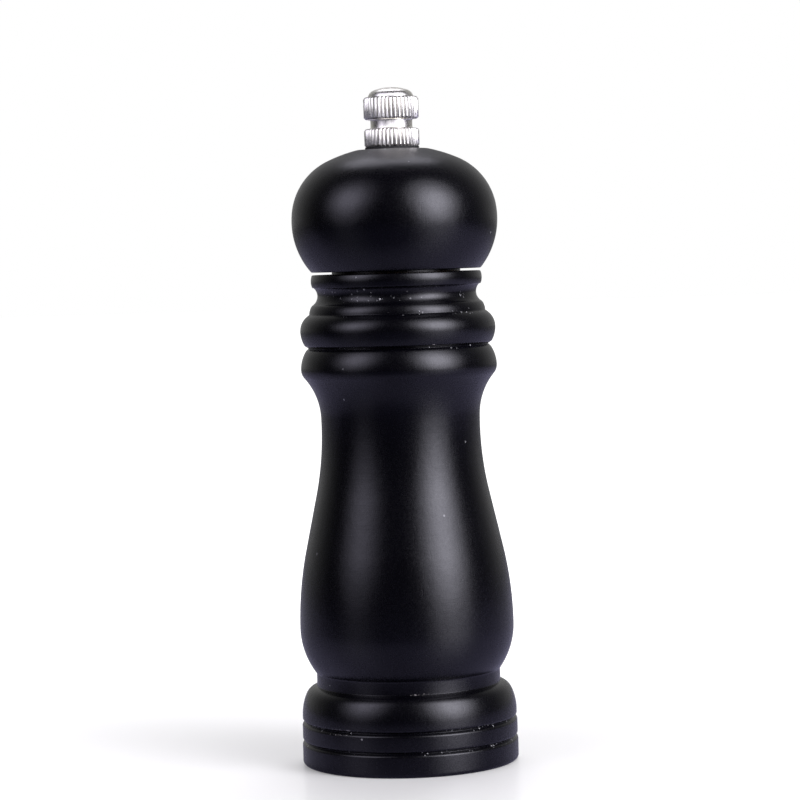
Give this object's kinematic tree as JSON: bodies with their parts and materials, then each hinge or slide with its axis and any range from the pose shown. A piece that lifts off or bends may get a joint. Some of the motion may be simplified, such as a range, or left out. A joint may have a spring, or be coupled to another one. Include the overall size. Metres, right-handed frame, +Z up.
{
  "type": "pepper mill",
  "caption": "Turned wooden pepper mill with a waisted body, a separate domed head that turns a burr mechanism, and a knurled metal knob that sets the grind.",
  "frame": {"origin": "centre of the underside of the foot, on the mill's axis", "axes": "+Z up along the mill's axis, towards the knob; +X and +Y are level, with the first carrier screw on +X"},
  "size_m": [0.053, 0.053, 0.165],
  "materials": {
    "black_lacquered_wood": "satin black lacquer over turned wood",
    "black_plastic": "matt moulded plastic",
    "ceramic": "unglazed, fine-ground",
    "steel_sheet": "zinc-plated sheet",
    "spring_steel": "bright spring wire and strip",
    "shaft_steel": "drawn bar, mill finish",
    "black_fibre": "matt",
    "nickel": "polished nickel plate",
    "screw_steel": "zinc-plated"
  },
  "bodies": {
    "body": {"mill_body": "black_lacquered_wood", "burr_carrier": "black_plastic", "stator_ring": "ceramic", "stator_retainer": "steel_sheet", "carrier_screw_1": "screw_steel", "carrier_screw_2": "screw_steel", "carrier_screw_3": "screw_steel"},
    "turning_seat": {"spring": "spring_steel", "upper_spring_washer": "steel_sheet"},
    "shaft": {"drive_shaft": "shaft_steel", "rotor_burr": "ceramic", "lower_spring_washer": "steel_sheet", "rotor_washer": "steel_sheet", "retaining_clip": "spring_steel"},
    "head": {"head": "black_lacquered_wood", "drive_plate": "steel_sheet", "plate_screw_1": "screw_steel", "plate_screw_2": "screw_steel"},
    "knob_seat": {"knob_washer": "black_fibre"},
    "knob": {"adjusting_knob": "nickel"}
  },
  "joints": [
    {"name": "head_turn", "type": "hinge", "parent": "body", "child": "turning_seat", "pos_m": [0, 0, 0], "axis": [0, 0, 1], "continuous": true},
    {"name": "burr_height", "type": "slide", "parent": "turning_seat", "child": "shaft", "axis": [0, 0, 1], "range_m": [-0.0016, 0.0008], "deforming": ["spring"]},
    {"name": "head_lift", "type": "slide", "parent": "turning_seat", "child": "head", "axis": [0, 0, 1], "range_m": [0, 0.06]},
    {"name": "knob_lift", "type": "slide", "parent": "head", "child": "knob_seat", "axis": [0, 0, 1], "range_m": [0, 0.015]},
    {"name": "knob_turn", "type": "hinge", "parent": "knob_seat", "child": "knob", "pos_m": [0, 0, 0], "axis": [0, 0, 1], "range_deg": [-360, 720]}
  ],
  "couplings": [
    {"joint": "knob_turn", "follows": "burr_height", "rad_per_m": -7854}
  ]
}
